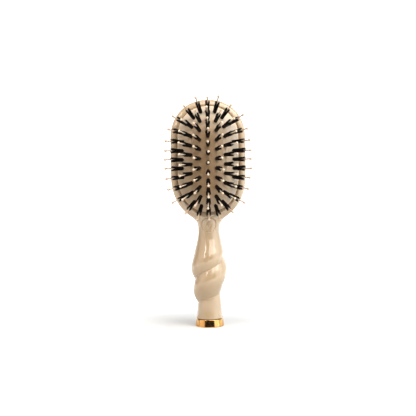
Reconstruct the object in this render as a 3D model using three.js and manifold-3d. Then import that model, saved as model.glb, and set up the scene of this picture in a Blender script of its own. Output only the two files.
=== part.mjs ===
// Cushion hairbrush standing on the gold cap of its handle. Millimetres, +Z up.
// Origin: centre of the cap's flat foot. The bristle face looks along -Y.
import * as THREE from 'three';
import { ParametricGeometry } from 'three/addons/geometries/ParametricGeometry.js';
import { mergeVertices } from 'three/addons/utils/BufferGeometryUtils.js';
import Module from 'manifold-3d';

const wasm = await Module();
wasm.setup();

// ---- driving dimensions -------------------------------------------------

const GAP = 0.3; // clearance between pieces that touch on the real brush

// Head and cushion outlines: two superellipse ends joined by short straight sides.
const SPINE = { top: 182.2, low: 147, power: 2.15 };
const HEAD = { halfWidth: 36.4, topSpan: 37.5, lowSpan: 44.5 };
const RIM = { side: 7.2, top: 7, low: 8.4 }; // from the head's edge to the cushion
const CUSHION = {
  halfWidth: HEAD.halfWidth - RIM.side,
  topSpan: HEAD.topSpan - RIM.top,
  lowSpan: HEAD.lowSpan - RIM.low,
};
const RIM_FRONT = 9; // the rim's front plane is this far in front of the axis
const HEAD_BACK = 10.5; // the domed back is this far behind the axis
const RIM_ROUNDING = 7; // superellipse powers of the head's edge, front and back
const BACK_ROUNDING = 2.5;
const RECESS_FLOOR = 4.5;

// Cushion: a moulded membrane whose flange sits in a groove in the recess wall.
const MEMBRANE = 1.5;
const SEAM_DEPTH = 2.2; // the cushion meets the rim this far behind its front plane
const DOME = 9; // height of the cushion's crown above its edge
const FLANGE_REACH = 1.8; // the flange runs this far under the rim
const RETAINER = { width: 3.6, thickness: 1.2 };

// Tufts: columns from the centre line outwards, each with its top and bottom tuft.
const COLUMN_PITCH = 8.2;
const COLUMN_TOP = [208.5, 206.5, 201, 195];
const COLUMN_LOW = [116, 117, 121, 127.5];
const CENTRE_COUNT = 12; // each column further out has one tuft fewer
const END_NARROWING = 0.18; // the columns lean in by this share at both ends
// How a tuft leans: outwards with its distance from the centre line, and up or down along its column.
const LEAN = { perOut: 1 / 34.5, droop: -0.04, along: 0.5, alongLoss: 0.16, end: 0.24, endMost: 0.3 };
const TUFT = { root: 1.7, tip: 2.4, length: 15, inside: 3.9 };
const PIN = { radius: 0.6, ball: 1.15, length: 22, inside: 6.2 };
const BORE = 1.05; // space for the pin along the middle of a tuft
const BEYOND = 1; // a bore is cut this far past both ends of its tuft
const THREAD = { depth: 3.2, radius: 0.55, reach: 1.25 }; // drawing thread that ties a row of tufts
const CARRIER = { depth: 5.6, radius: 0.5, reach: 0 }; // strip that carries a row of pins
const TUFT_SIDES = 5;
const PIN_SIDES = 4;
const LINK_SIDES = 3;

// Grip: a round stem and two strands that wind around it. Stations are [height, size].
const STEM = { foot: 7.5, inHead: 112 };
const STEM_WIDTH = [[7.5, 12.8], [12, 12], [20, 11.4], [40, 11], [62, 10.6], [80, 9.6], [92, 9.3], [99, 10.3],
  [104, 12.8], [108, 16.3], [112, 20]];
const STEM_DEPTH = [[7.5, 12.8], [12, 12], [20, 11.4], [40, 11], [62, 10.6], [80, 9.6], [92, 9.3], [104, 9.1],
  [112, 8.7]];
const STRAND_A = [[12, 7], [30, 10.2], [40, 14.2], [50, 17.2], [60, 17.5], [70, 15.6], [80, 12.2], [92, 7.5],
  [100, 5]];
const STRAND_B = [[12, 8], [20, 11.2], [30, 14.9], [40, 16.6], [50, 17.3], [60, 17], [70, 14.6], [80, 9.8],
  [90, 6.5], [100, 5]];
const STRAND_OFFSET = 0.15; // a strand's centre is off the axis by this share of its reach
const TWIST = { pitch: 50, leftAt: 56 }; // strand A faces left (-X) at this height
// The creases between strands are crisp below and melt away above, sooner on the left side.
const CREASE = { crisp: 0.35, soft: 7, from: 60, to: 76, side: 10 };

// End cap: a cup glued over a round tenon.
const CAP = { foot: 12.9, footRound: 0.35, widest: 13.9, widestAt: 1.4, waist: 0.15, top: 12.9, height: 7.2,
  boreFloor: 2.3, bore: 8.8 };

// ---- solids -------------------------------------------------------------

const triangleOf = (index, i) => [index.getX(i), index.getX(i + 1), index.getX(i + 2)];

function signedVolume(position, triangles) {
  const [a, b, c] = [new THREE.Vector3(), new THREE.Vector3(), new THREE.Vector3()];
  let six = 0;
  for (const [i, j, k] of triangles) {
    a.fromBufferAttribute(position, i);
    b.fromBufferAttribute(position, j);
    c.fromBufferAttribute(position, k);
    six += a.dot(b.cross(c));
  }
  return six / 6;
}

// A closed geometry as a solid: shared corners merged, collapsed triangles left out, faces outward.
function solid(geometry) {
  geometry.deleteAttribute('normal');
  geometry.deleteAttribute('uv');
  const merged = mergeVertices(geometry, 1e-4);
  const all = [];
  for (let i = 0; i < merged.index.count; i += 3) {
    all.push(triangleOf(merged.index, i));
  }
  let triangles = all.filter(([i, j, k]) => i !== j && j !== k && k !== i);
  if (signedVolume(merged.attributes.position, triangles) < 0) {
    triangles = triangles.map(([i, j, k]) => [i, k, j]);
  }
  return new wasm.Manifold(new wasm.Mesh({
    numProp: 3,
    vertProperties: new Float32Array(merged.attributes.position.array),
    triVerts: new Uint32Array(triangles.flat()),
  }));
}

const joined = (solids) => solids.reduce((whole, next) => whole.add(next));
const without = (whole, cutters) => cutters.reduce((rest, cutter) => rest.subtract(cutter), whole);

function geometryOf(shape) {
  const { vertProperties, triVerts } = shape.getMesh();
  const geometry = new THREE.BufferGeometry();
  geometry.setAttribute('position', new THREE.BufferAttribute(vertProperties, 3));
  geometry.setIndex(new THREE.BufferAttribute(triVerts, 1));
  return geometry;
}

// A surface of rings: ringAt(row) gives a function from a turn (0 to 1) to a point.
function rings(rows, around, pointAt) {
  const count = rows.length - 1;
  const place = (u, v, target) => target.copy(pointAt(rows[Math.round(v * count)], (u % 1) * 2 * Math.PI));
  return solid(new ParametricGeometry(place, around, count));
}

// A frustum from one point to another.
function rod(from, to, startRadius, endRadius, sides) {
  const along = to.clone().sub(from);
  const geometry = new THREE.CylinderGeometry(endRadius, startRadius, along.length(), sides);
  geometry.applyQuaternion(new THREE.Quaternion().setFromUnitVectors(
    new THREE.Vector3(0, 1, 0), along.clone().normalize()));
  geometry.translate(...from.clone().add(to).multiplyScalar(0.5));
  return solid(geometry);
}

function curve(stations) {
  const heights = stations.map(([height]) => height);
  const sizes = stations.map(([, size]) => size);
  const fit = new THREE.CubicInterpolant(heights, sizes, 1);
  return (z) => fit.evaluate(THREE.MathUtils.clamp(z, heights[0], heights.at(-1)))[0];
}

// ---- head outline and cushion dome --------------------------------------

const superCos = (angle, power) => Math.sign(Math.cos(angle)) * Math.abs(Math.cos(angle)) ** (2 / power);
const superSin = (angle, power) => Math.sign(Math.sin(angle)) * Math.abs(Math.sin(angle)) ** (2 / power);

// A point of an outline, drawn in by inset and then scaled by share about the spine.
function outlinePoint(angle, { shape, inset = 0, share, y }) {
  const x = (shape.halfWidth - inset) * share * superCos(angle, SPINE.power);
  const s = superSin(angle, SPINE.power);
  const z = s >= 0
    ? SPINE.top + (shape.topSpan - inset) * share * s
    : SPINE.low + (shape.lowSpan - inset) * share * s;
  return new THREE.Vector3(x, y, z);
}

// How far a point of the cushion is from the spine: 0 on it and 1 at the edge.
function cushionShare(x, z) {
  const end = Math.max(0, (z - SPINE.top) / CUSHION.topSpan, (SPINE.low - z) / CUSHION.lowSpan);
  const across = Math.abs(x) / CUSHION.halfWidth;
  return (across ** SPINE.power + end ** SPINE.power) ** (1 / SPINE.power);
}

const CUSHION_EDGE = -RIM_FRONT + SEAM_DEPTH;
const domeRise = (share) => DOME * (1 - share * share);
const AROUND_HEAD = 44;

// Rows hold { shape, inset, share, y }: rings of an outline.
const outlineSolid = (rows) => rings(rows, AROUND_HEAD, (row, angle) => outlinePoint(angle, row));

// A plate of the cushion's outline drawn in by inset, from y0 to y1.
const cushionPlate = (inset, y0, y1) => outlineSolid(
  [[0, y0], [1, y0], [1, y1], [0, y1]].map(([share, y]) => ({ shape: CUSHION, inset, share, y })));

function headSolid() {
  const front = [0, 0.82, 0.9, 0.95, 0.985].map((share) => ({
    shape: HEAD, share, y: -RIM_FRONT * (1 - share ** RIM_ROUNDING) ** (1 / RIM_ROUNDING) }));
  const back = [1, 0.985, 0.94, 0.85, 0.7, 0.5, 0.25, 0].map((share) => ({
    shape: HEAD, share, y: HEAD_BACK * (1 - share ** BACK_ROUNDING) ** (1 / BACK_ROUNDING) }));
  return outlineSolid([...front, ...back]);
}

const GROOVE_BACK = CUSHION_EDGE + MEMBRANE + GAP + RETAINER.thickness;

function recessCutters() {
  return [
    cushionPlate(-GAP, -RIM_FRONT - DOME, RECESS_FLOOR),
    cushionPlate(-FLANGE_REACH - GAP, CUSHION_EDGE - GAP, GROOVE_BACK + GAP),
  ];
}

// ---- grip ---------------------------------------------------------------

const stemWidth = curve(STEM_WIDTH);
const stemDepth = curve(STEM_DEPTH);
const strandA = curve(STRAND_A);
const strandB = curve(STRAND_B);

// Angles run from the front (-Y) towards +X.
function strandReach(reach, angle, crestAngle) {
  const offset = STRAND_OFFSET * reach;
  const radius = reach - offset;
  const turn = angle - crestAngle;
  return offset * Math.cos(turn) + Math.sqrt(radius ** 2 - (offset * Math.sin(turn)) ** 2);
}

// The larger of two sizes, rounded over where they are within reach of each other.
function smoothMax(a, b, reach) {
  const over = Math.max(reach - Math.abs(a - b), 0) / reach;
  return Math.max(a, b) + over ** 2 * reach / 4;
}

function creaseReach(z, angle) {
  const height = z - CREASE.side * Math.sin(angle);
  const softness = THREE.MathUtils.smoothstep(height, CREASE.from, CREASE.to);
  return THREE.MathUtils.lerp(CREASE.crisp, CREASE.soft, softness);
}

function gripRadius(z, angle) {
  const crest = -Math.PI / 2 + (z - TWIST.leftAt) / TWIST.pitch * 2 * Math.PI;
  const stem = 1 / Math.hypot(Math.sin(angle) / stemWidth(z), Math.cos(angle) / stemDepth(z));
  const reach = creaseReach(z, angle);
  const strands = smoothMax(
    strandReach(strandA(z), angle, crest), strandReach(strandB(z), angle, crest + Math.PI), reach);
  return smoothMax(stem, strands, reach);
}

function gripSolid() {
  const AROUND_GRIP = 32;
  const STEP = 3.6;
  const rows = [{ z: STEM.foot, closed: true }];
  const steps = Math.round((STEM.inHead - STEM.foot) / STEP);
  for (let i = 0; i <= steps; i += 1) {
    rows.push({ z: THREE.MathUtils.lerp(STEM.foot, STEM.inHead, i / steps) });
  }
  rows.push({ z: STEM.inHead, closed: true });
  return rings(rows, AROUND_GRIP, (row, angle) => {
    const radius = row.closed ? 0 : gripRadius(row.z, angle);
    return new THREE.Vector3(radius * Math.sin(angle), -radius * Math.cos(angle), row.z);
  });
}

function lathe(profile, around) {
  const geometry = new THREE.LatheGeometry(profile.map(([r, z]) => new THREE.Vector2(r, z)), around);
  geometry.rotateX(Math.PI / 2);
  return solid(geometry);
}

const TENON_SIDES = 24;

function tenonSolid() {
  const radius = CAP.bore - GAP;
  const foot = CAP.boreFloor + GAP;
  const inGrip = STEM.foot + 1;
  return lathe([[0, foot], [radius, foot], [radius, inGrip], [0, inGrip]], TENON_SIDES);
}

const CAP_SIDES = 32;

function capSolid() {
  const { foot, footRound, widest, widestAt, waist, top, height, boreFloor, bore } = CAP;
  const middle = (widest + top) / 2 - waist;
  return lathe([[0, 0], [foot, 0], [widest - footRound, footRound], [widest, widestAt], [middle, height / 2],
    [top, height], [bore, height], [bore, boreFloor], [0, boreFloor]], CAP_SIDES);
}

// ---- cushion ------------------------------------------------------------

function membraneSolid() {
  const shape = CUSHION;
  const outer = [0, 0.3, 0.6, 0.85, 1].map((share) => ({ shape, share, y: CUSHION_EDGE - domeRise(share) }));
  const inner = [1, 0.7, 0.35, 0].map((share) => ({ shape, inset: MEMBRANE, share,
    y: CUSHION_EDGE - domeRise(share) + MEMBRANE }));
  const flange = [
    { shape, inset: -FLANGE_REACH, share: 1, y: CUSHION_EDGE },
    { shape, inset: -FLANGE_REACH, share: 1, y: CUSHION_EDGE + MEMBRANE },
  ];
  return outlineSolid([...outer, ...flange, ...inner]);
}

function retainerSolid() {
  const front = CUSHION_EDGE + MEMBRANE + GAP;
  const back = front + RETAINER.thickness;
  return cushionPlate(-FLANGE_REACH, front, back)
    .subtract(cushionPlate(RETAINER.width - FLANGE_REACH, front - 1, back + 1));
}

// ---- tufts --------------------------------------------------------------

// Column 0 is the centre line; columns to the right (+X) are positive. Row 0 is the top tuft.
function tuftAt(column, row) {
  const out = Math.abs(column);
  const last = CENTRE_COUNT - out - 1;
  const z = THREE.MathUtils.lerp(COLUMN_TOP[out], COLUMN_LOW[out], row / last);
  const along = 1 - 2 * row / last;
  const x = column * COLUMN_PITCH * (1 - END_NARROWING * Math.abs(along) ** 3);
  const root = new THREE.Vector3(x, CUSHION_EDGE - domeRise(cushionShare(x, z)), z);
  const leanX = x * LEAN.perOut;
  const leanZ = LEAN.droop + (LEAN.along - LEAN.alongLoss * out) * along
    + Math.min(LEAN.end * out, LEAN.endMost) * along ** 3;
  const direction = new THREE.Vector3(leanX, -Math.sqrt(1 - leanX ** 2 - leanZ ** 2), leanZ);
  return { root, at: (distance) => root.clone().addScaledVector(direction, distance) };
}

const run = (column, first, last) => {
  const found = [];
  for (let row = first; row <= last; row += 1) {
    found.push(tuftAt(column, row));
  }
  return found;
};
const lastRow = (column) => CENTRE_COUNT - Math.abs(column) - 1;
const arc = (columns, rowOf) => columns.map((column) => tuftAt(column, rowOf(column)));

// Rings of tufts from the cushion's edge inwards, each in rows that are drawn with one thread.
const ROWS = {
  edge_left: run(-3, 0, lastRow(3)),
  edge_right: run(3, 0, lastRow(3)),
  edge_top: arc([-2, -1, 0, 1, 2], () => 0),
  edge_bottom: arc([-2, -1, 0, 1, 2], lastRow),
  outer_left: run(-2, 1, lastRow(2) - 1),
  outer_right: run(2, 1, lastRow(2) - 1),
  outer_top: arc([-1, 0, 1], () => 1),
  outer_bottom: arc([-1, 0, 1], (column) => lastRow(column) - 1),
  inner_left: run(-1, 2, lastRow(1) - 2),
  inner_right: run(1, 2, lastRow(1) - 2),
  inner_top: [tuftAt(0, 2)],
  inner_bottom: [tuftAt(0, lastRow(0) - 2)],
  centre: run(0, 3, lastRow(0) - 3),
};

// Strips between neighbouring tufts, each starting and ending a short reach from the tufts' axes.
function links(tufts, { depth, radius, reach }) {
  return tufts.slice(1).map((tuft, i) => {
    const from = tufts[i].at(-depth);
    const to = tuft.at(-depth);
    const inwards = to.clone().sub(from).setLength(reach);
    return rod(from.add(inwards), to.sub(inwards), radius, radius, LINK_SIDES);
  });
}

function bristleSolid(tufts) {
  const bundles = tufts.map((tuft) => rod(tuft.at(-TUFT.inside), tuft.at(TUFT.length), TUFT.root, TUFT.tip,
    TUFT_SIDES));
  const bores = tufts.map((tuft) => rod(tuft.at(-TUFT.inside - BEYOND), tuft.at(TUFT.length + BEYOND), BORE, BORE,
    TUFT_SIDES));
  return without(joined([...bundles, ...links(tufts, THREAD)]), bores);
}

function ballSolid(centre) {
  const geometry = new THREE.OctahedronGeometry(PIN.ball);
  geometry.translate(...centre);
  return solid(geometry);
}

function pinSolid(tufts) {
  const shafts = tufts.map((tuft) => rod(tuft.at(-PIN.inside), tuft.at(PIN.length), PIN.radius, PIN.radius,
    PIN_SIDES));
  const balls = tufts.map((tuft) => ballSolid(tuft.at(PIN.length)));
  return joined([...shafts, ...balls, ...links(tufts, CARRIER)]);
}

const HOLE = TUFT.root + 1.2 * GAP; // a flat-sided hole that keeps the gap at its flats too
const tuftHole = (tuft) => rod(tuft.at(-TUFT.inside), tuft.at(TUFT.inside), HOLE, HOLE, TUFT_SIDES);

// ---- assembly -----------------------------------------------------------

const acetate = new THREE.MeshStandardMaterial({ color: 0xe3cfb4, roughness: 0.28, metalness: 0 });
const gold = new THREE.MeshStandardMaterial({ color: 0xd9a55c, roughness: 0.16, metalness: 1 });
const rubber = new THREE.MeshStandardMaterial({ color: 0xe6d2b8, roughness: 0.55, metalness: 0 });
const bristle = new THREE.MeshStandardMaterial({ color: 0x120b07, roughness: 0.5, metalness: 0 });
const nylon = new THREE.MeshStandardMaterial({ color: 0xecd2b4, roughness: 0.35, metalness: 0 });
const fibreboard = new THREE.MeshStandardMaterial({ color: 0x8f7a62, roughness: 0.8, metalness: 0 });

const brush = new THREE.Group();
function addPiece(name, shape, material) {
  const mesh = new THREE.Mesh(geometryOf(shape), material.clone());
  mesh.name = name;
  brush.add(mesh);
}

addPiece('body', without(joined([headSolid(), gripSolid(), tenonSolid()]), recessCutters()), acetate);
addPiece('end_cap', capSolid(), gold);
addPiece('cushion_retainer', retainerSolid(), fibreboard);
addPiece('cushion_pad', without(membraneSolid(), Object.values(ROWS).flat().map(tuftHole)), rubber);
for (const [row, tufts] of Object.entries(ROWS)) {
  addPiece(`bristles_${row}`, bristleSolid(tufts), bristle);
  addPiece(`pins_${row}`, pinSolid(tufts), nylon);
}

export default brush;
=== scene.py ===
"""Cushion hairbrush standing on its gold cap: the visual model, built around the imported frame."""
import math

import bmesh
import bpy
import numpy as np
from mathutils import Matrix, Vector


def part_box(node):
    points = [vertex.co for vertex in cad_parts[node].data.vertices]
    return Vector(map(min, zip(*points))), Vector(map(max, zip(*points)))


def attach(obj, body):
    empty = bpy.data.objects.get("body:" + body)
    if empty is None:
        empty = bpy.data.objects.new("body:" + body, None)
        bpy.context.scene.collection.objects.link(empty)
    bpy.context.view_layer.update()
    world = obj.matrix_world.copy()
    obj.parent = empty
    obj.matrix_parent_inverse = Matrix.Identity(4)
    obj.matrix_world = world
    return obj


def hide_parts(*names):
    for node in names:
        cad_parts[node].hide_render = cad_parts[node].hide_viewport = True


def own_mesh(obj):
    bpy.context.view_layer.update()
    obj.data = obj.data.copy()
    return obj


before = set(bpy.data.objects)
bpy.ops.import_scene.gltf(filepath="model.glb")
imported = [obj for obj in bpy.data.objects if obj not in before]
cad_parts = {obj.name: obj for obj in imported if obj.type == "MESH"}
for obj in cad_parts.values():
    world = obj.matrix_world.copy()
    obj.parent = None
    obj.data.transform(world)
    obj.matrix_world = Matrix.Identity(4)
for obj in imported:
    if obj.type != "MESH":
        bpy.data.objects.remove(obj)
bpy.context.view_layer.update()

MM = 0.001
rng = np.random.default_rng(7)

# ---- driving dimensions, in millimetres ---------------------------------------
# They are the CAD's, apart from the rim's rounding, the stem's upper end, the crease,
# the tufts' thickness and the pins' balls, which are set nearer to the photo.

HALF_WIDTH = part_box("body")[1].x / MM
TOP_CENTRE, LOW_CENTRE = 182.2, 147.0
POWER = 2.15
HEAD = (HALF_WIDTH, 37.5, 44.5)
RIM = (7.2, 7.0, 8.4)
CUSHION = tuple(whole - rim for whole, rim in zip(HEAD, RIM))
RIM_FRONT, HEAD_BACK = 9.0, 10.5
RIM_ROUNDING, BACK_ROUNDING = 5.5, 2.5
GAP = 0.3
RECESS_FLOOR = 4.5
SEAM_DEPTH = 2.2
CUSHION_EDGE = SEAM_DEPTH - RIM_FRONT
DOME = 9.0
MEMBRANE = 1.5
FAR = 50.0

COLUMN_PITCH = 8.2
COLUMN_TOP = (208.5, 206.5, 201.0, 195.0)
COLUMN_LOW = (116.0, 117.0, 121.0, 127.5)
CENTRE_COUNT = 12
END_NARROWING = 0.18
FAN_RADIUS = 34.5
DROOP, LEAN_ALONG, LEAN_LOSS = 0.04, 0.5, 0.16
LEAN_END, LEAN_END_MOST = 0.24, 0.3
TUFT_LENGTH, TUFT_ROOT, TUFT_TIP = 15.0, 1.6, 2.2
PIN_LENGTH, PIN_RADIUS, BALL_RADIUS = 22.0, 0.6, 1.2

STEM_FOOT = 7.5
STEM_WIDTH = ((7.5, 12.8), (12, 12), (20, 11.4), (40, 11), (62, 10.6), (80, 9.6), (92, 9.4), (99, 10.7),
              (104, 13.2), (108, 16.5), (112, 20))
STEM_DEPTH = ((7.5, 12.8), (12, 12), (20, 11.4), (40, 11), (62, 10.6), (80, 9.6), (92, 9.3), (104, 9.1),
              (112, 8.8))
STRAND_A = ((12, 7), (30, 10.2), (40, 14.2), (50, 17.2), (60, 17.5), (70, 15.6), (80, 12.2), (92, 7.5),
            (100, 5))
STRAND_B = ((12, 8), (20, 11.2), (30, 14.9), (40, 16.6), (50, 17.3), (60, 17), (70, 14.6), (80, 9.8),
            (90, 6.5), (100, 5))
STRAND_OFFSET = 0.15
TWIST_PITCH, TWIST_LEFT_AT = 50.0, 56.0
CREASE_CRISP, CREASE_SOFT = 0.3, 7.0
CREASE_CUT, CREASE_SPREAD = 0.45, 0.55
CREASE_FROM, CREASE_TO, CREASE_SIDE = 60.0, 76.0, 10.0


# ---- meshes ------------------------------------------------------------------

def mesh_object(name, points_mm, *face_groups):
    """A smooth mesh from points in millimetres and groups of faces, each with its own number of corners."""
    groups = [np.asarray(faces, np.int32) for faces in face_groups]
    corners = np.concatenate([faces.ravel() for faces in groups])
    sizes = np.concatenate([np.full(len(faces), faces.shape[1]) for faces in groups])
    mesh = bpy.data.meshes.new(name)
    mesh.vertices.add(len(points_mm))
    mesh.vertices.foreach_set("co", (np.asarray(points_mm, float) * MM).astype(np.float32).ravel())
    mesh.loops.add(len(corners))
    mesh.loops.foreach_set("vertex_index", corners)
    mesh.polygons.add(len(sizes))
    mesh.polygons.foreach_set("loop_start", (np.cumsum(sizes) - sizes).astype(np.int32))
    mesh.update(calc_edges=True)
    mesh.validate()
    shade_smooth(mesh)
    piece = bpy.data.objects.new(name, mesh)
    bpy.context.scene.collection.objects.link(piece)
    return piece


def shade_smooth(mesh):
    mesh.polygons.foreach_set("use_smooth", np.ones(len(mesh.polygons), bool))


def full_turn(count):
    """Evenly spaced angles of a closed ring."""
    return np.arange(count) / count * 2 * math.pi


MERGE = 0.001


def clean(piece):
    """Merge doubled corners, drop collapsed faces and turn every face outward."""
    work = bmesh.new()
    work.from_mesh(piece.data)
    bmesh.ops.remove_doubles(work, verts=work.verts, dist=MERGE * MM)
    bmesh.ops.dissolve_degenerate(work, edges=work.edges, dist=MERGE * MM)
    bmesh.ops.recalc_face_normals(work, faces=work.faces)
    work.to_mesh(piece.data)
    work.free()
    shade_smooth(piece.data)
    return piece


def ring_faces(rows, around):
    """Quads between closed rings of points, row by row."""
    row, column = np.meshgrid(np.arange(rows - 1), np.arange(around), indexing="ij")
    after = (column + 1) % around
    quads = np.stack([row * around + column, row * around + after,
                      (row + 1) * around + after, (row + 1) * around + column], -1)
    return quads.reshape(-1, 4)


def place(piece, body, slot, material, *nodes):
    piece.data.materials.clear()
    piece.data.materials.append(material)
    if nodes:
        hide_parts(*nodes)
    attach(piece, body)


def apply_modifiers(piece):
    graph = bpy.context.evaluated_depsgraph_get()
    made = bpy.data.meshes.new_from_object(piece.evaluated_get(graph))
    piece.modifiers.clear()
    piece.data = made


# ---- materials ---------------------------------------------------------------

# The point attribute that carries the painted shade between the tufts.
SHADE = "painted_shade_between_tufts"


class Nodes:
    """A node material with a Principled shader, and short calls to add nodes to it."""

    def __init__(self, name, **sockets):
        self.material = bpy.data.materials.new(name)
        self.material.use_nodes = True
        self.tree = self.material.node_tree
        self.shader = self.tree.nodes["Principled BSDF"]
        for socket, value in sockets.items():
            self.shader.inputs[socket.replace("_", " ")].default_value = value

    def add(self, kind, inputs=None, **settings):
        node = self.tree.nodes.new(kind)
        for key, value in settings.items():
            setattr(node, key, value)
        for key, value in (inputs or {}).items():
            if isinstance(value, bpy.types.NodeSocket):
                self.tree.links.new(value, node.inputs[key])
            else:
                node.inputs[key].default_value = value
        return node

    def place(self):
        return self.add("ShaderNodeTexCoord").outputs["Object"]

    def noise(self, scale, detail=3.0, roughness=0.55, vector=None):
        node = self.add("ShaderNodeTexNoise", {"Scale": scale, "Detail": detail, "Roughness": roughness})
        self.tree.links.new(vector or self.place(), node.inputs["Vector"])
        return node.outputs["Fac"]

    def ramp(self, factor, *stops):
        node = self.add("ShaderNodeValToRGB", {"Fac": factor})
        ramp = node.color_ramp
        while len(ramp.elements) < len(stops):
            ramp.elements.new(0.5)
        for element, (position, colour) in zip(ramp.elements, stops):
            element.position = position
            element.color = (*colour, 1.0)
        return node.outputs["Color"]

    def span(self, factor, low, high):
        node = self.add("ShaderNodeMapRange", {"Value": factor, "To Min": low, "To Max": high})
        return node.outputs["Result"]

    def wire(self, socket, output):
        self.tree.links.new(output, self.shader.inputs[socket])

    def bump(self, *layers):
        """Layers of (height, strength, distance in millimetres), from the coarsest to the finest."""
        normal = None
        for height, strength, distance in layers:
            inputs = {"Height": height, "Strength": strength, "Distance": distance * MM}
            node = self.add("ShaderNodeBump", inputs)
            if normal:
                self.tree.links.new(normal, node.inputs["Normal"])
            normal = node.outputs["Normal"]
        self.wire("Normal", normal)


def acetate():
    """Warm cream cellulose acetate, hand polished: cloudy depth, faint ripples and fine wipe marks."""
    made = Nodes("cream_acetate", Coat_Weight=0.8, Coat_Roughness=0.11, Coat_IOR=1.7, IOR=1.5,
                 Subsurface_Weight=0.12, Subsurface_Radius=(0.006, 0.0035, 0.002), Subsurface_Scale=0.6)
    cloud = made.noise(38.0, detail=4.0)
    made.wire("Base Color", made.ramp(cloud, (0.3, (0.550, 0.402, 0.250)), (0.5, (0.580, 0.430, 0.275)),
                                      (0.7, (0.610, 0.456, 0.298))))
    made.wire("Roughness", made.span(made.noise(420.0, detail=5.0), 0.28, 0.44))
    made.bump((made.noise(55.0, detail=1.0), 0.25, 0.25), (made.noise(2600.0, detail=2.0), 0.05, 0.02))
    return made.material


def rubber():
    """Satin moulded rubber with a fine matt grain, and painted shade: browner and darker between the tufts.
    """
    made = Nodes("cushion_rubber", Sheen_Weight=0.05, Sheen_Roughness=0.45, IOR=1.46,
                 Subsurface_Weight=0.06, Subsurface_Radius=(0.004, 0.0025, 0.0015), Subsurface_Scale=0.5)
    # Painted shade: the cushion's point attribute, 0 at its edge and 1 among the middle tufts, darkens the
    # rubber through the ramp.
    depth = made.add("ShaderNodeAttribute", attribute_name=SHADE).outputs["Fac"]
    cloud = made.span(made.noise(70.0, detail=5.0), -0.12, 0.12)
    tone = made.add("ShaderNodeMath", {0: depth, 1: cloud}, operation="ADD").outputs["Value"]
    made.wire("Base Color", made.ramp(tone, (0.0, (0.840, 0.700, 0.550)), (0.35, (0.750, 0.580, 0.410)),
                                      (1.0, (0.540, 0.360, 0.205))))
    made.wire("Roughness", made.span(made.noise(900.0, detail=4.0), 0.42, 0.6))
    made.bump((made.noise(240.0, detail=2.0), 0.15, 0.12), (made.noise(5200.0, detail=2.0), 0.12, 0.03))
    return made.material


def bristle():
    """Natural boar bristle: near black with brown tips here and there, glossy along the hair."""
    made = Nodes("boar_bristle", IOR=1.42)
    tint = made.noise(1500.0, detail=2.0)
    made.wire("Base Color", made.ramp(tint, (0.35, (0.0022, 0.0015, 0.0012)), (0.62, (0.006, 0.004, 0.003)),
                                      (0.80, (0.035, 0.020, 0.012))))
    made.wire("Roughness", made.span(made.noise(2400.0), 0.32, 0.55))
    made.bump((made.noise(9000.0, detail=1.0), 0.2, 0.02))
    return made.material


def nylon(name, *colours):
    """Satin moulded nylon, with a little colour drift from pin to pin."""
    made = Nodes(name, IOR=1.52, Subsurface_Weight=0.2, Subsurface_Radius=(0.002, 0.0014, 0.001),
                 Subsurface_Scale=0.4)
    made.wire("Base Color", made.ramp(made.noise(900.0, detail=2.0), *zip((0.3, 0.7), colours)))
    made.wire("Roughness", made.span(made.noise(1800.0), 0.25, 0.4))
    made.bump((made.noise(4000.0, detail=1.0), 0.1, 0.02))
    return made.material


def gold():
    """Polished gold plate with paler patches, and fine turning marks round the cap."""
    made = Nodes("gold_plate", Metallic=1.0)
    patch = made.noise(160.0, detail=4.0)
    made.wire("Base Color", made.ramp(patch, (0.3, (0.68, 0.37, 0.12)), (0.7, (0.77, 0.47, 0.20))))
    made.wire("Roughness", made.span(made.noise(700.0, detail=5.0), 0.07, 0.19))
    turned = made.add("ShaderNodeMapping", {"Vector": made.place(), "Scale": (1.0, 1.0, 16.0)})
    made.bump((made.noise(900.0, detail=2.0, vector=turned.outputs["Vector"]), 0.06, 0.02))
    return made.material


def fibreboard():
    """Raw pressed board, seen only inside the head."""
    made = Nodes("fibreboard", Specular_IOR_Level=0.25)
    made.wire("Base Color", made.ramp(made.noise(900.0, detail=5.0), (0.3, (0.16, 0.11, 0.07)),
                                      (0.7, (0.30, 0.22, 0.15))))
    made.wire("Roughness", made.span(made.noise(1500.0), 0.75, 0.95))
    made.bump((made.noise(2500.0, detail=3.0), 0.4, 0.1))
    return made.material


# ---- head outline, cushion dome and tuft places -------------------------------

def super_cos(angle):
    return np.sign(np.cos(angle)) * np.abs(np.cos(angle)) ** (2 / POWER)


def super_sin(angle):
    return np.sign(np.sin(angle)) * np.abs(np.sin(angle)) ** (2 / POWER)


def outline(angle, shape, inset, share):
    """x and z of an outline, drawn in by inset and scaled by share about the spine."""
    half_width, top_span, low_span = shape
    s = super_sin(angle)
    x = (half_width - inset) * share * super_cos(angle)
    up = TOP_CENTRE + (top_span - inset) * share * s
    down = LOW_CENTRE + (low_span - inset) * share * s
    return x, np.where(s >= 0, up, down)


def share_of(x, z, shape, inset=0.0):
    """How far a point is from the spine: 0 on it and 1 at the outline drawn in by inset."""
    half_width, top_span, low_span = shape
    top = (z - TOP_CENTRE) / (top_span - inset)
    low = (LOW_CENTRE - z) / (low_span - inset)
    end = np.maximum(0, np.maximum(top, low))
    across = np.abs(x) / (half_width - inset)
    return (across ** POWER + end ** POWER) ** (1 / POWER)


def dome_rise(share):
    return DOME * (1 - share ** 2)


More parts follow.
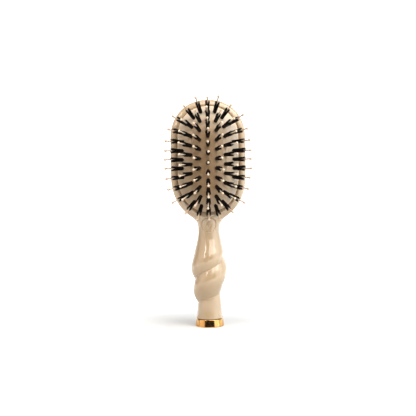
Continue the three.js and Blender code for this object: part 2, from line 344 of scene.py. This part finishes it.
class Tuft:
    """Column 0 is the centre line, +1 the next one to the right; row 0 is the top tuft."""

    def __init__(self, column, row):
        out = abs(column)
        last = CENTRE_COUNT - out - 1
        z = COLUMN_TOP[out] + (COLUMN_LOW[out] - COLUMN_TOP[out]) * row / last
        along = 1 - 2 * row / last
        x = column * COLUMN_PITCH * (1 - END_NARROWING * abs(along) ** 3)
        lean_x = x / FAN_RADIUS
        end_lean = min(LEAN_END * out, LEAN_END_MOST)
        lean_z = -DROOP + (LEAN_ALONG - LEAN_LOSS * out) * along + end_lean * along ** 3
        self.root = np.array([x, CUSHION_EDGE - dome_rise(share_of(x, z, CUSHION)), z])
        self.out = np.array([lean_x, -math.sqrt(1 - lean_x ** 2 - lean_z ** 2), lean_z])


def last_row(column):
    return CENTRE_COUNT - abs(column) - 1


def column_run(column, skip):
    return [Tuft(column, row) for row in range(skip, last_row(column) + 1 - skip)]


def across_top(columns, skip):
    return [Tuft(column, skip) for column in columns]


def across_bottom(columns, skip):
    return [Tuft(column, last_row(column) - skip) for column in columns]


EDGE_COLUMNS = (-2, -1, 0, 1, 2)
OUTER_COLUMNS = (-1, 0, 1)
ROWS = {
    "edge_left": column_run(-3, 0),
    "edge_right": column_run(3, 0),
    "edge_top": across_top(EDGE_COLUMNS, 0),
    "edge_bottom": across_bottom(EDGE_COLUMNS, 0),
    "outer_left": column_run(-2, 1),
    "outer_right": column_run(2, 1),
    "outer_top": across_top(OUTER_COLUMNS, 1),
    "outer_bottom": across_bottom(OUTER_COLUMNS, 1),
    "inner_left": column_run(-1, 2),
    "inner_right": column_run(1, 2),
    "inner_top": [Tuft(0, 2)],
    "inner_bottom": [Tuft(0, last_row(0) - 2)],
    "centre": column_run(0, 3),
}


# ---- body: one field for head, neck and twisted grip --------------------------

def curve(stations):
    """A smooth curve through stations of (height, size): cubic, with slopes from the neighbours."""
    heights, sizes = np.array(stations, float).T
    slopes = np.gradient(sizes, heights)

    def at(z):
        z = np.clip(z, heights[0], heights[-1])
        i = np.clip(np.searchsorted(heights, z) - 1, 0, len(heights) - 2)
        step = heights[i + 1] - heights[i]
        t = (z - heights[i]) / step
        return ((2 * t ** 3 - 3 * t ** 2 + 1) * sizes[i] + (t ** 3 - 2 * t ** 2 + t) * step * slopes[i]
                + (3 * t ** 2 - 2 * t ** 3) * sizes[i + 1] + (t ** 3 - t ** 2) * step * slopes[i + 1])
    return at


stem_width, stem_depth = curve(STEM_WIDTH), curve(STEM_DEPTH)
strand_a, strand_b = curve(STRAND_A), curve(STRAND_B)


def smooth_max(a, b, reach):
    over = np.maximum(reach - np.abs(a - b), 0) / reach
    return np.maximum(a, b) + over ** 2 * reach / 4


def strand(reach, angle, crest):
    offset = STRAND_OFFSET * reach
    turn = angle - crest
    return offset * np.cos(turn) + np.sqrt((reach - offset) ** 2 - (offset * np.sin(turn)) ** 2)


def crease_reach(z, angle):
    """Crisp creases low down that melt away higher up, sooner on the left side."""
    height = z - CREASE_SIDE * np.sin(angle)
    share = np.clip((height - CREASE_FROM) / (CREASE_TO - CREASE_FROM), 0, 1)
    return CREASE_CRISP + (CREASE_SOFT - CREASE_CRISP) * share * share * (3 - 2 * share)


def grip_radius(z, angle):
    crest = -math.pi / 2 + (z - TWIST_LEFT_AT) / TWIST_PITCH * 2 * math.pi
    stem = 1 / np.hypot(np.sin(angle) / stem_width(z), np.cos(angle) / stem_depth(z))
    reach = crease_reach(z, angle)
    first, second = strand(strand_a(z), angle, crest), strand(strand_b(z), angle, crest + math.pi)
    strands = smooth_max(first, second, reach)
    crispness = CREASE_CRISP / reach
    cut = CREASE_CUT * np.where(strands > stem, np.exp(-((first - second) / CREASE_SPREAD) ** 2), 0)
    cut = np.maximum(cut, CREASE_CUT * np.exp(-((stem - strands) / CREASE_SPREAD) ** 2))
    return smooth_max(stem, strands, reach) - cut * np.sqrt(crispness)


VOXEL = 0.6
NECK_FILLET = 5.0
NECK_FADE, NECK_FADE_FROM = 0.15, 114.0
NECK_TOP, NECK_BACK_TOP, NECK_BACK = 109.0, 118.0, 5.7
LIP_FILLET, LIP_SLOPE = 1.0, 0.9
LIP_OUT, LIP_RISE = 1.6, 2.0
TENON, TENON_FOOT = 8.5, 2.6
FOOT_KEPT = 1.2
STEP = 0.02
WALK_STEP, WALK_MOST = 0.03, 0.6


def head_distance(x, y, z):
    share = share_of(x, z, HEAD)
    power = np.where(y < 0, RIM_ROUNDING, BACK_ROUNDING)
    depth = np.where(y < 0, RIM_FRONT, HEAD_BACK)
    return (share ** power + (np.abs(y) / depth) ** power) ** (1 / power) - 1


def true_distance(field, points):
    """A field turned into a distance by its own slope, good near its surface."""
    here = field(*points.T)
    slope = [(field(*(points + STEP * axis).T) - here) / STEP for axis in np.eye(3)]
    return here / np.maximum(np.sqrt(sum(s ** 2 for s in slope)), 1e-4)


def body_distance(points):
    x, y, z = points.T
    head = true_distance(head_distance, points)
    radius = np.hypot(x, y)
    fade = NECK_FADE * np.maximum(0, z - NECK_FADE_FROM) ** 2
    grip = radius - grip_radius(z, np.arctan2(x, -y)) + fade
    whole = -smooth_max(-head, -grip, NECK_FILLET)
    wall = (share_of(x, z, CUSHION, -GAP) - 1) * CUSHION[0] - LIP_SLOPE * np.maximum(0, CUSHION_EDGE - y)
    return smooth_max(whole, np.where(y < RECESS_FLOOR - 2, -wall, -FAR), LIP_FILLET)


def project(points, distance, rounds=6):
    """Walk points onto the surface where the distance is 0."""
    points = points.copy()
    for _ in range(rounds):
        here = distance(points)
        slope = np.stack([(distance(points + WALK_STEP * axis) - here) / WALK_STEP for axis in np.eye(3)], 1)
        length = np.maximum((slope ** 2).sum(1), 0.05)
        move = -here[:, None] * slope / length[:, None]
        points += np.clip(move, -WALK_MOST, WALK_MOST)
    return points


def rough_head():
    """Rings from the recess floor over the rim and round the back."""
    rows = [(CUSHION, -GAP, share, RECESS_FLOOR) for share in (0, 0.5, 1)]
    rows += [(CUSHION, -GAP, 1, 0), (CUSHION, -GAP, 1, CUSHION_EDGE)]
    rows += [(CUSHION, -GAP - LIP_OUT, 1, CUSHION_EDGE - LIP_RISE)]
    front = (0.9, 0.94, 0.97, 0.99)
    back = (1, 0.99, 0.96, 0.9, 0.8, 0.65, 0.5, 0.3, 0)
    rows += [(HEAD, 0, s, -RIM_FRONT * (1 - s ** RIM_ROUNDING) ** (1 / RIM_ROUNDING)) for s in front]
    rows += [(HEAD, 0, s, HEAD_BACK * (1 - s ** BACK_ROUNDING) ** (1 / BACK_ROUNDING)) for s in back]
    around = 240
    angle = full_turn(around)
    points = []
    for shape, inset, share, y in rows:
        x, z = outline(angle, shape, inset, share)
        points.append(np.stack([x, np.full(around, y), z], 1))
    return clean(mesh_object("rough_head", np.concatenate(points), ring_faces(len(rows), around)))


def rough_grip():
    """Rings from the tenon's foot up the grip; above the neck only its back goes on, into the head."""
    around = 96
    angle = full_turn(around)
    rows = [(TENON_FOOT, 0), (TENON_FOOT, TENON), (STEM_FOOT, TENON)]
    points = [np.stack([r * np.sin(angle), -r * np.cos(angle), np.full(around, z)], 1) for z, r in rows]
    grip_heights = np.linspace(STEM_FOOT, NECK_TOP, 130)
    back_heights = np.linspace(NECK_TOP + 0.5, NECK_BACK_TOP, 9)
    for z in np.concatenate([grip_heights, back_heights]):
        r = grip_radius(np.full(around, z), angle)
        y = np.maximum(-r * np.cos(angle), NECK_BACK if z > NECK_TOP else -FAR)
        points.append(np.stack([r * np.sin(angle), y, np.full(around, z)], 1))
    points.append(np.tile([0, NECK_BACK + 1, NECK_BACK_TOP], (around, 1)))
    return clean(mesh_object("rough_grip", np.concatenate(points), ring_faces(len(points), around)))


def points_of(mesh):
    co = np.empty(len(mesh.vertices) * 3)
    mesh.vertices.foreach_get("co", co)
    return co.reshape(-1, 3) / MM


def set_points(mesh, points):
    mesh.vertices.foreach_set("co", (points * MM).astype(np.float32).ravel())
    mesh.update()


EMBLEM_HEIGHT, EMBLEM_RADIUS, EMBLEM_DEPTH = 98.6, 6.9, 0.6
RING_LINE = 0.45
LOZENGE_WIDE, LOZENGE_HIGH, LOZENGE_SLOPE, LOZENGE_LINE, LOZENGE_SHARE = 2.6, 3.9, 2.4, 0.42, 0.8
EMBLEM_MARGIN, EMBLEM_WALKED = 1.4, 2.5


def emblem_relief(points):
    """A plain engraved ring with a small lozenge outline in it."""
    x, z = points[:, 0], points[:, 2] - EMBLEM_HEIGHT
    ring = np.exp(-((np.hypot(x, z) - EMBLEM_RADIUS) / RING_LINE) ** 2)
    off = np.abs(x) / LOZENGE_WIDE + np.abs(z) / LOZENGE_HIGH - 1
    lozenge = np.exp(-(off * LOZENGE_SLOPE / LOZENGE_LINE) ** 2)
    return np.where(points[:, 1] < 0, -EMBLEM_DEPTH * np.maximum(ring, LOZENGE_SHARE * lozenge), 0)


def build_body(material):
    """The rough shapes as one voxel skin, walked onto the field everywhere but in the recess and the foot."""
    head, grip = rough_head(), rough_grip()
    with bpy.context.temp_override(active_object=head, selected_editable_objects=[head, grip]):
        bpy.ops.object.join()
    head.name = "body_shell"
    head.data.name = "body_shell"
    remesh = head.modifiers.new("remesh", "REMESH")
    remesh.mode = "VOXEL"
    remesh.voxel_size = VOXEL * MM
    apply_modifiers(head)
    mesh = head.data
    points = points_of(mesh)
    share = share_of(points[:, 0], points[:, 2], CUSHION, -GAP)
    inside = (share < 1.02) & (points[:, 1] > CUSHION_EDGE + 0.5) & (points[:, 1] < RECESS_FLOOR + 1)
    inside |= points[:, 2] < STEM_FOOT + FOOT_KEPT
    points[~inside] = project(points[~inside], body_distance)
    set_points(mesh, points)
    refine_emblem(mesh)
    shade_smooth(mesh)
    place(head, "root", "acetate", material, "body")


def refine_emblem(mesh):
    """Finer faces round the emblem, walked onto the engraved surface."""
    work = bmesh.new()
    work.from_mesh(mesh)
    reach = (EMBLEM_RADIUS + EMBLEM_MARGIN) * MM
    near = [f for f in work.faces if f.calc_center_median().y < 0 and
            (f.calc_center_median().xz - Vector((0, EMBLEM_HEIGHT * MM))).length < reach]
    edges = list({e for f in near for e in f.edges})
    bmesh.ops.subdivide_edges(work, edges=edges, cuts=3, use_grid_fill=True)
    bmesh.ops.triangulate(work, faces=[f for f in work.faces if len(f.verts) > 4])
    work.to_mesh(mesh)
    work.free()
    points = points_of(mesh)
    away = np.hypot(points[:, 0], points[:, 2] - EMBLEM_HEIGHT)
    close = (away < EMBLEM_RADIUS + EMBLEM_WALKED) & (points[:, 1] < 0)
    points[close] = project(points[close], lambda p: body_distance(p) - emblem_relief(p), 4)
    set_points(mesh, points)


# ---- cushion ------------------------------------------------------------------

BEAD_HEIGHT, BEAD_RISE, BEAD_WIDTH = 1.6, 0.3, 3.5
BEAD_FOOT, EDGE_GAP = 0.75, 0.1
# Painted shade on the cushion: none out at share 1.0, full within share 0.3, with its centre 3 mm to the left
# and 7 mm low.
SHADE_FROM, SHADE_TO = 1.0, 0.3
SHADE_LEFT, SHADE_LOW = 3.0, 7.0
COLLAR_HEIGHT, COLLAR_RADIUS, COLLAR_WIDTH = 0.55, 1.9, 0.75
DIMPLE_DEPTH, DIMPLE_WIDTH = 0.35, 4.2
FINE_FROM, EDGE_BEND = 0.9, 0.4


def edge_bead(share):
    """The soft roll of rubber where the cushion comes out of the rim."""
    inward = (1 - share) * CUSHION[0]
    rise = 1 - (1 - BEAD_FOOT) * np.exp(-inward / BEAD_RISE)
    return BEAD_HEIGHT * rise * np.exp(-inward / BEAD_WIDTH)


def build_cushion(material):
    """A domed membrane: its front with collars and dimples at the tufts, its edge and its back."""
    around, coarse_rows, fine_rows, back_rows = 360, 40, 24, 12
    inset = EDGE_GAP - GAP
    angle = full_turn(around)
    shares = np.concatenate([np.linspace(0, FINE_FROM, coarse_rows, endpoint=False),
                             np.linspace(FINE_FROM, 1, fine_rows)])
    front = []
    for share in shares:
        x, z = outline(angle, CUSHION, inset, share)
        y = CUSHION_EDGE - dome_rise(share) - edge_bead(share)
        front.append(np.stack([x, np.full(around, y), z], 1))
    front = np.concatenate(front)
    for tuft in (t for row in ROWS.values() for t in row):
        away = np.linalg.norm(front - tuft.root, axis=1)
        collar = COLLAR_HEIGHT * np.exp(-((away - COLLAR_RADIUS) / COLLAR_WIDTH) ** 2)
        dimple = DIMPLE_DEPTH * np.exp(-(away / DIMPLE_WIDTH) ** 2)
        front[:, 1] -= collar - dimple
    edge = []
    x, z = outline(angle, CUSHION, inset, 1)
    for y in (CUSHION_EDGE + EDGE_BEND, CUSHION_EDGE + MEMBRANE):
        edge.append(np.stack([x, np.full(around, y), z], 1))
    back = []
    for share in np.linspace(1, 0, back_rows):
        x, z = outline(angle, CUSHION, MEMBRANE, share)
        back.append(np.stack([x, np.full(around, CUSHION_EDGE - dome_rise(share) + MEMBRANE), z], 1))
    points = np.concatenate([front, *edge, *back])
    rows = len(points) // around
    cushion = clean(mesh_object("cushion_dome", points, ring_faces(rows, around)))
    # Painted shade: darker towards the middle of the cushion, about a centre 3 mm left and 7 mm low, kept as
    # a point attribute for the rubber.
    x, _, z = points_of(cushion.data).T
    depth = share_of(x + SHADE_LEFT, z + SHADE_LOW, CUSHION)
    shade = np.clip((SHADE_FROM - depth) / (SHADE_FROM - SHADE_TO), 0, 1)
    layer = cushion.data.attributes.new(SHADE, "FLOAT", "POINT")
    layer.data.foreach_set("value", shade.astype(np.float32))
    place(cushion, "root", "rubber", material, "cushion_pad")
    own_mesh(cushion)


# ---- tufts and pins --------------------------------------------------------------

def across(out):
    """Two unit vectors square to out, the first as level as it can be."""
    side = np.cross(out, [0, 0, 1.0])
    side /= np.linalg.norm(side)
    return side, np.cross(side, out)


HAIRS, HAIR_RINGS, HAIR_SIDES = 120, 6, 3
HAIR_RADIUS = np.array([0.26, 0.26, 0.25, 0.23, 0.19, 0.08])
HAIR_FOOT = 0.8
CLEAR_CORE = 0.08
FORK_LEVEL, FORK_DRIFT = np.array([0.12, 0, 0.02]), 0.5
LOBE, LOBE_BEND = (0.2, 0.6), 5
TIP_SHARE, TIP_DRIFT = 0.86, 0.2
WEAR, WEAR_POWER = 0.2, 1.6
PIN_LANE, SHORTER_AT_PIN = 0.45, 0.14
LENGTH_DRIFT = (-0.4, 0.8)
PIN_LEAN, PIN_BEND = 0.018, 1.5


def tuft_hairs(tuft):
    """Hair paths of one tuft, as points [hair, ring, xyz], forked along its row with the pin between."""
    side, up = across(tuft.out)
    turn = rng.uniform(0, 2 * math.pi, HAIRS)
    reach = TUFT_ROOT * np.sqrt(rng.uniform(CLEAR_CORE, 1, HAIRS))
    foot = reach[:, None] * np.stack([np.cos(turn), np.sin(turn)], 1)
    along_row = np.cross(tuft.out, [0, 1.0, 0]) + FORK_LEVEL
    fork = math.atan2(along_row @ up, along_row @ side) + rng.uniform(-FORK_DRIFT, FORK_DRIFT)
    fork_way = np.array([math.cos(fork), math.sin(fork)])
    lobe = np.sign(foot @ fork_way)[:, None] * fork_way * rng.uniform(*LOBE)
    tip = foot * (TUFT_TIP / TUFT_ROOT) * TIP_SHARE + rng.normal(0, TIP_DRIFT, (HAIRS, 2))
    near_pin = np.exp(-((foot @ fork_way) / PIN_LANE) ** 2)
    wear = WEAR * rng.uniform(0, 1, HAIRS) ** WEAR_POWER
    length = TUFT_LENGTH * (1 - wear - SHORTER_AT_PIN * near_pin) + rng.uniform(*LENGTH_DRIFT)
    along = np.linspace(0, 1, HAIR_RINGS)
    flat = foot[:, None] + (tip - foot)[:, None] * along[None, :, None]
    flat = flat + lobe[:, None] * (along ** LOBE_BEND)[None, :, None]
    height = -HAIR_FOOT + (length[:, None] + HAIR_FOOT) * along[None, :]
    return tuft.root + height[..., None] * tuft.out + flat[..., :1] * side + flat[..., 1:] * up


def build_bristles(name, tufts, body, material):
    paths = np.concatenate([tuft_hairs(tuft) for tuft in tufts])
    count = len(paths)
    out = np.repeat([tuft.out for tuft in tufts], HAIRS, axis=0)
    level = np.cross(out, [0, 0, 1.0])
    level /= np.linalg.norm(level, axis=1)[:, None]
    square = np.cross(level, out)
    spin = rng.uniform(0, 2 * math.pi, count)
    rings = []
    for side in range(HAIR_SIDES):
        angle = spin + side * 2 * math.pi / HAIR_SIDES
        arm = np.cos(angle)[:, None] * level + np.sin(angle)[:, None] * square
        rings.append(paths + arm[:, None] * HAIR_RADIUS[None, :, None])
    points = np.stack(rings, 2)
    first = np.arange(count) * HAIR_RINGS * HAIR_SIDES
    faces = (ring_faces(HAIR_RINGS, HAIR_SIDES)[None] + first[:, None, None]).reshape(-1, 4)
    tris_foot = first[:, None] + np.array([2, 1, 0])
    tris_tip = first[:, None] + (HAIR_RINGS - 1) * HAIR_SIDES + np.array([0, 1, 2])
    piece = mesh_object(name, points.reshape(-1, 3), faces, np.concatenate([tris_foot, tris_tip]))
    place(piece, body, "bristle", material, name.replace("bristle_tufts", "bristles"))


def pin_profile():
    """(distance along the pin, radius): a slim shaft that swells into a ball."""
    foot, neck, neck_radius = -2.0, PIN_LENGTH - 1.6, 0.66
    shaft = [(foot, 0), (foot, PIN_RADIUS), (4, PIN_RADIUS), (12, 0.58), (18, 0.56), (PIN_LENGTH - 2.2, 0.58)]
    ball = [(neck, neck_radius)]
    first, steps = 3, 12
    for step in range(first, steps + 1):
        angle = math.pi * step / steps
        ball.append((PIN_LENGTH - BALL_RADIUS * math.cos(angle), BALL_RADIUS * math.sin(angle)))
    return shaft + ball


def build_pins(name, tufts, body, material):
    sides = 12
    profile = np.array(pin_profile())
    angle = full_turn(sides)
    points = []
    for tuft in tufts:
        side, up = across(tuft.out)
        lean = rng.normal(0, PIN_LEAN, 2)
        circle = np.cos(angle)[:, None] * side + np.sin(angle)[:, None] * up
        for along, radius in profile:
            sway = (max(along, 0) / PIN_LENGTH) ** PIN_BEND * PIN_LENGTH
            centre = tuft.root + along * tuft.out + sway * (lean[0] * side + lean[1] * up)
            points.append(centre + radius * circle)
    one = ring_faces(len(profile), sides)
    faces = (one[None] + np.arange(len(tufts))[:, None, None] * len(profile) * sides).reshape(-1, 4)
    piece = clean(mesh_object(name, np.concatenate(points), faces))
    place(piece, body, "nylon", material, name.replace("pin_set", "pins"))


# ---- end cap ----------------------------------------------------------------------

SHARP_DEGREES = 40


def build_cap(material):
    """A flared cup with a small rolled foot and a crisp top edge, bored for the grip's tenon."""
    foot, roll = 13.46, 0.4
    top, bore, floor = 7.2, 8.8, 2.3
    foot_round = [(foot + roll * math.sin(a), roll - roll * math.cos(a)) for a in np.linspace(0, 1.45, 7)]
    side = [(13.84, 0.6), (13.72, 1.4), (13.56, 2.5), (13.40, 3.6), (13.24, 4.7), (13.07, 5.9), (12.96, 6.7),
            (12.88, 6.98)]
    lip = [(12.72, 7.15), (12.4, top), (bore, top), (bore, floor), (0, floor)]
    profile = [(0, 0.0), (9.5, 0.0), (13.0, 0.0), *foot_round, *side, *lip]
    around = 160
    angle = full_turn(around)
    points = [np.stack([r * np.cos(angle), r * np.sin(angle), np.full(around, z)], 1) for r, z in profile]
    cap = clean(mesh_object("gold_cap", np.concatenate(points), ring_faces(len(profile), around)))
    cap.data.set_sharp_from_angle(angle=math.radians(SHARP_DEGREES))
    place(cap, "root", "gold", material, "end_cap")


# ---- studio -------------------------------------------------------------------------

def area_light(name, where, target, size, power, colour=(1, 1, 1)):
    data = bpy.data.lights.new(name, "AREA")
    data.shape = "RECTANGLE"
    data.size, data.size_y = size
    data.energy = power
    data.color = colour
    light = bpy.data.objects.new(name, data)
    light.location = where
    light.rotation_euler = (Vector(target) - Vector(where)).to_track_quat("-Z", "Y").to_euler()
    bpy.context.scene.collection.objects.link(light)


GLOW_FROM, GLOW_TO = 0.04, 0.32


def build_floor():
    """A pale floor that sweeps up into a backdrop behind the brush."""
    near, reach, bend, half_width, height = -1.6, 2.6, 0.8, 3.0, 3.0
    path = [(near, 0.0)]
    for angle in np.linspace(0, math.pi / 2, 14):
        path.append((reach - bend + bend * math.sin(angle), bend - bend * math.cos(angle)))
    path.append((reach, height))
    points = [(x, y, z) for y, z in path for x in (-half_width, half_width)]
    faces = [(2 * i, 2 * i + 1, 2 * i + 3, 2 * i + 2) for i in range(len(path) - 1)]
    floor = mesh_object("studio_sweep", np.array(points) / MM, faces)
    made = Nodes("studio_paper", Roughness=0.9, Specular_IOR_Level=0.1, Base_Color=(0.82, 0.828, 0.84, 1.0),
                 Emission_Color=(1, 1, 1, 1))
    away = made.add("ShaderNodeVectorMath", {0: made.place()}, operation="LENGTH").outputs["Value"]
    glow = made.add("ShaderNodeMapRange", {"Value": away, "From Min": GLOW_FROM, "From Max": GLOW_TO,
                                           "To Max": 1.0})
    made.wire("Emission Strength", glow.outputs["Result"])
    made.bump((made.noise(400.0), 0.05, 0.1))
    floor.data.materials.append(made.material)
    floor.visible_diffuse = False


WARM, COOL = (1.0, 0.94, 0.86), (0.80, 0.92, 1.0)
VIEW_GAMMA = 0.86
SIDES, FRONT, BELOW = 0.40, 0.03, 1.4
FRONT_FROM, FRONT_TO = 0.62, 0.86
BELOW_FROM, BELOW_TO = -0.7, -0.1
CAMERA_AT, CAMERA_ROLL = (-0.0006, -0.65, 0.1146), -0.6
LENS, SENSOR = 57.6, 36.0


def studio_world():
    """Pale walls and light from below, a dark wall in front, and plain white for the camera's own rays."""
    world = bpy.data.worlds.new("studio")
    world.use_nodes = True
    tree = world.node_tree
    walls = tree.nodes["Background"]
    walls.inputs["Color"].default_value = (1.0, 0.97, 0.93, 1.0)
    place = tree.nodes.new("ShaderNodeTexCoord")
    split = tree.nodes.new("ShaderNodeSeparateXYZ")
    tree.links.new(place.outputs["Generated"], split.inputs["Vector"])

    def span(axis, *limits):
        node = tree.nodes.new("ShaderNodeMapRange")
        for socket, value in zip(("From Min", "From Max", "To Min", "To Max"), limits):
            node.inputs[socket].default_value = value
        tree.links.new(split.outputs[axis], node.inputs["Value"])
        return node.outputs["Result"]

    total = tree.nodes.new("ShaderNodeMath")
    tree.links.new(span("Y", -FRONT_TO, -FRONT_FROM, FRONT, SIDES), total.inputs[0])
    tree.links.new(span("Z", BELOW_FROM, BELOW_TO, BELOW - SIDES, 0.0), total.inputs[1])
    tree.links.new(total.outputs["Value"], walls.inputs["Strength"])
    seen = tree.nodes.new("ShaderNodeBackground")
    seen.inputs["Color"].default_value = (1.0, 1.0, 1.0, 1.0)
    path = tree.nodes.new("ShaderNodeLightPath")
    mix = tree.nodes.new("ShaderNodeMixShader")
    tree.links.new(path.outputs["Is Camera Ray"], mix.inputs["Fac"])
    tree.links.new(walls.outputs["Background"], mix.inputs[1])
    tree.links.new(seen.outputs["Background"], mix.inputs[2])
    tree.links.new(mix.outputs["Shader"], tree.nodes["World Output"].inputs["Surface"])
    return world


def build_studio():
    build_floor()
    scene = bpy.context.scene
    scene.view_settings.view_transform = "Standard"
    scene.view_settings.gamma = VIEW_GAMMA
    scene.world = studio_world()
    centre = (0, 0, 0.13)
    area_light("key", (0.95, -0.55, 0.6), centre, (1.0, 1.6), 7.5, (0.86, 0.95, 1.0))
    area_light("side", (1.1, 0.25, 0.3), centre, (1.5, 1.4), 5.5, COOL)
    area_light("fill", (-1.05, -0.4, 0.4), centre, (1.2, 1.5), 4.4, WARM)
    area_light("overhead", (0, -0.45, 1.15), centre, (1.3, 0.8), 4.5, WARM)
    area_light("front", (0.45, -0.9, 0.95), centre, (1.3, 0.8), 12.0, (1.0, 0.985, 0.96))
    area_light("glint", (-0.55, -0.75, 0.62), (0, 0, 0.08), (0.12, 0.3), 1.1)

    camera = bpy.data.objects.new("camera", bpy.data.cameras.new("camera"))
    camera.data.lens = LENS
    camera.data.sensor_width = SENSOR
    upright = Matrix.Rotation(math.pi / 2, 4, "X")
    roll = Matrix.Rotation(math.radians(CAMERA_ROLL), 4, "Z")
    camera.matrix_world = Matrix.Translation(CAMERA_AT) @ upright @ roll
    scene.collection.objects.link(camera)
    scene.camera = camera


# ---- assembly ---------------------------------------------------------------------

build_body(acetate())
build_cushion(rubber())
build_cap(gold())
hair = bristle()
# Two copies of one nylon: the edge rows' pins take the darker one, which is painted shade.
pale_pin = nylon("pin_nylon", (0.80, 0.66, 0.51), (0.88, 0.75, 0.60))
shaded_edge_pin = nylon("pin_nylon_edge_shaded", (0.64, 0.49, 0.36), (0.73, 0.58, 0.45))
for row_name, row_tufts in ROWS.items():
    row_body = "tufts_" + row_name.split("_")[0]
    pin = shaded_edge_pin if row_body == "tufts_edge" else pale_pin
    build_bristles(f"bristle_tufts_{row_name}", row_tufts, row_body, hair)
    build_pins(f"pin_set_{row_name}", row_tufts, row_body, pin)
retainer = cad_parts["cushion_retainer"]
retainer.data.materials.clear()
retainer.data.materials.append(fibreboard())
build_studio()
